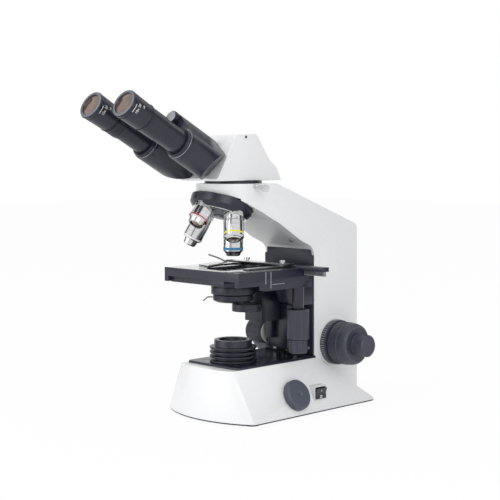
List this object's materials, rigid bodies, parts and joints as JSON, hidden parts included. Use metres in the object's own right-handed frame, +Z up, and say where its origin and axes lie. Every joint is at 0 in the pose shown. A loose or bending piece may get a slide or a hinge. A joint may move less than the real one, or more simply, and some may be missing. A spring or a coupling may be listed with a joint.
{
  "type": "compound microscope",
  "caption": "Binocular compound light microscope with inclined swinging eyepiece tubes, revolving nosepiece, mechanical stage, condenser, coaxial focus knobs and built-in lamp.",
  "frame": {"origin": "where the vertical optical axis meets the table under the feet", "axes": "+X to the user's right, -Y towards the user in front, +Z up"},
  "size_m": [0.19, 0.3654, 0.3643],
  "materials": {
    "white_enamel": "semi-gloss white enamel",
    "black_enamel": "satin blue-black enamel",
    "stage_black": "hard glossy black coat",
    "black_anodised": "black anodised",
    "knob_plastic": "fine matt dark grey",
    "grey_metal": "grey anodised",
    "chrome": "satin chrome",
    "steel": "ground",
    "bronze": "turned",
    "foot_rubber": "matt",
    "optical_glass": "polished",
    "switch_plastic": "gloss black",
    "pale_plastic": "gloss white",
    "circuit_board": "green lacquer",
    "heat_sink": "plain"
  },
  "bodies": {
    "stand": {"base_shell": "white_enamel", "bottom_plate": "black_enamel", "rubber_feet": "foot_rubber", "cover_plate": "black_enamel", "arm_column": "white_enamel", "column_panel": "black_enamel", "slide_rails": "steel", "head_seat": "black_anodised", "nosepiece_seat": "grey_metal", "collector_housing": "black_enamel", "field_lens": "optical_glass", "led_module": "heat_sink", "driver_board": "circuit_board", "power_inlet": "switch_plastic", "switch_frame": "pale_plastic", "focus_bushings": "bronze", "limit_stop": "grey_metal"},
    "head": {"head_housing": "white_enamel", "hinge_shaft": "grey_metal"},
    "right_tube": {"right_prism_housing": "black_enamel", "right_eye_tube": "black_anodised", "right_eyepiece": "black_anodised", "right_eye_lens": "optical_glass"},
    "left_tube": {"left_prism_housing": "black_enamel", "left_eye_tube": "black_anodised"},
    "diopter": {"diopter_ring": "knob_plastic"},
    "left_ocular": {"left_eyepiece": "black_anodised", "left_eye_lens": "optical_glass"},
    "nosepiece": {"nosepiece_turret": "black_anodised", "objective_4x": "chrome", "objective_10x": "chrome", "objective_40x": "chrome", "objective_100x": "chrome", "objective_lenses": "optical_glass"},
    "stage": {"stage_carrier": "black_enamel", "lower_stage_plate": "black_enamel", "focus_rack": "steel"},
    "y_slide": {"stage_plate": "stage_black", "xy_housing": "black_enamel"},
    "y_control": {"y_knob": "knob_plastic"},
    "x_control": {"x_knob": "knob_plastic"},
    "x_slide": {"x_slide_bar": "black_anodised", "slide_holder": "stage_black", "holder_screws": "chrome"},
    "finger": {"spring_finger": "stage_black"},
    "condenser": {"condenser_carrier": "black_enamel", "condenser_body": "black_anodised", "condenser_lens": "optical_glass"},
    "iris": {"iris_lever": "steel"},
    "filter": {"filter_holder": "black_anodised"},
    "condenser_control": {"condenser_knob": "knob_plastic"},
    "coarse": {"coarse_knobs": "knob_plastic", "coarse_shaft": "steel"},
    "fine": {"fine_knobs": "knob_plastic"},
    "tension": {"tension_ring": "knob_plastic"},
    "brightness": {"brightness_knob": "knob_plastic"},
    "switch": {"rocker": "switch_plastic"},
    "head_lock": {"head_lock_screw": "chrome"}
  },
  "joints": [
    {"name": "head_turn", "type": "hinge", "parent": "stand", "child": "head", "pos_m": [0, 0, 0.2688], "axis": [0, 0, 1], "continuous": true},
    {"name": "right_tube_swing", "type": "hinge", "parent": "head", "child": "right_tube", "pos_m": [0, 0, 0.2889], "axis": [0, -0.8829, 0.4695], "range_deg": [-4.5, 21]},
    {"name": "left_tube_swing", "type": "hinge", "parent": "head", "child": "left_tube", "pos_m": [0, 0, 0.2889], "axis": [0, -0.8829, 0.4695], "range_deg": [-21, 4.5]},
    {"name": "left_ocular_lift", "type": "slide", "parent": "left_tube", "child": "left_ocular", "axis": [0, -0.8829, 0.4695], "range_m": [0, 0.003]},
    {"name": "diopter_turn", "type": "hinge", "parent": "left_tube", "child": "diopter", "pos_m": [-0.0275, -0.15248, 0.33441], "axis": [0, -0.8829, 0.4695], "range_deg": [0, 270]},
    {"name": "nosepiece_turn", "type": "hinge", "parent": "stand", "child": "nosepiece", "pos_m": [0, -0.02067, 0.23422], "axis": [0, 0.342, 0.9397], "continuous": true},
    {"name": "stage_lift", "type": "slide", "parent": "stand", "child": "stage", "axis": [0, 0, 1], "range_m": [-0.006, 0.0113]},
    {"name": "coarse_turn", "type": "hinge", "parent": "stand", "child": "coarse", "pos_m": [0, 0.129, 0.0743], "axis": [1, 0, 0], "range_deg": [-108.4, 57.8]},
    {"name": "fine_turn", "type": "hinge", "parent": "coarse", "child": "fine", "pos_m": [0, 0.129, 0.0743], "axis": [1, 0, 0], "continuous": true},
    {"name": "tension_turn", "type": "hinge", "parent": "stand", "child": "tension", "pos_m": [0.046, 0.129, 0.0743], "axis": [1, 0, 0], "range_deg": [0, 120]},
    {"name": "y_travel", "type": "slide", "parent": "stage", "child": "y_slide", "axis": [0, 1, 0], "range_m": [-0.027, 0.018]},
    {"name": "y_knob_turn", "type": "hinge", "parent": "y_slide", "child": "y_control", "pos_m": [0.0545, 0.051, 0.14], "axis": [0, 0, 1], "range_deg": [-345, 231]},
    {"name": "x_travel", "type": "slide", "parent": "y_slide", "child": "x_slide", "axis": [1, 0, 0], "range_m": [-0.038, 0.038]},
    {"name": "x_knob_turn", "type": "hinge", "parent": "y_slide", "child": "x_control", "pos_m": [0.0545, 0.051, 0.078], "axis": [0, 0, 1], "range_deg": [-485, 485]},
    {"name": "finger_swing", "type": "hinge", "parent": "x_slide", "child": "finger", "pos_m": [-0.031, 0.041, 0.1697], "axis": [0, 0, 1], "range_deg": [-22, 0], "stiffness_Nm_per_rad": 0.02},
    {"name": "condenser_lift", "type": "slide", "parent": "stage", "child": "condenser", "axis": [0, 0, 1], "range_m": [-0.014, 0.003]},
    {"name": "condenser_knob_turn", "type": "hinge", "parent": "stage", "child": "condenser_control", "pos_m": [-0.025, 0.069, 0.087], "axis": [1, 0, 0], "range_deg": [-37, 168]},
    {"name": "iris_turn", "type": "hinge", "parent": "condenser", "child": "iris", "pos_m": [0, 0, 0.1347], "axis": [0, 0, 1], "range_deg": [-30, 50]},
    {"name": "filter_swing", "type": "hinge", "parent": "condenser", "child": "filter", "pos_m": [-0.008, 0.019, 0.123], "axis": [0, 0, 1], "range_deg": [-44.5, 0]},
    {"name": "brightness_turn", "type": "hinge", "parent": "stand", "child": "brightness", "pos_m": [0.06023, 0.039, 0.0235], "axis": [0.8976, 0, 0.4407], "range_deg": [0, 280]},
    {"name": "rocker_tip", "type": "hinge", "parent": "stand", "child": "switch", "pos_m": [0.06223, 0.078, 0.023], "axis": [0, 1, 0], "range_deg": [-14, 0]},
    {"name": "lock_screw_turn", "type": "hinge", "parent": "stand", "child": "head_lock", "pos_m": [0.03935, -0.00344, 0.2633], "axis": [0.9839, -0.0861, -0.1564], "range_deg": [0, 180]}
  ],
  "couplings": [
    {"joint": "left_tube_swing", "follows": "right_tube_swing", "ratio": -1},
    {"joint": "diopter_turn", "follows": "left_ocular_lift", "rad_per_m": 1570},
    {"joint": "coarse_turn", "follows": "stage_lift", "rad_per_m": -166.67},
    {"joint": "y_knob_turn", "follows": "y_travel", "rad_per_m": 222.22},
    {"joint": "x_knob_turn", "follows": "x_travel", "rad_per_m": -222.22},
    {"joint": "condenser_knob_turn", "follows": "condenser_lift", "rad_per_m": -208.33}
  ]
}
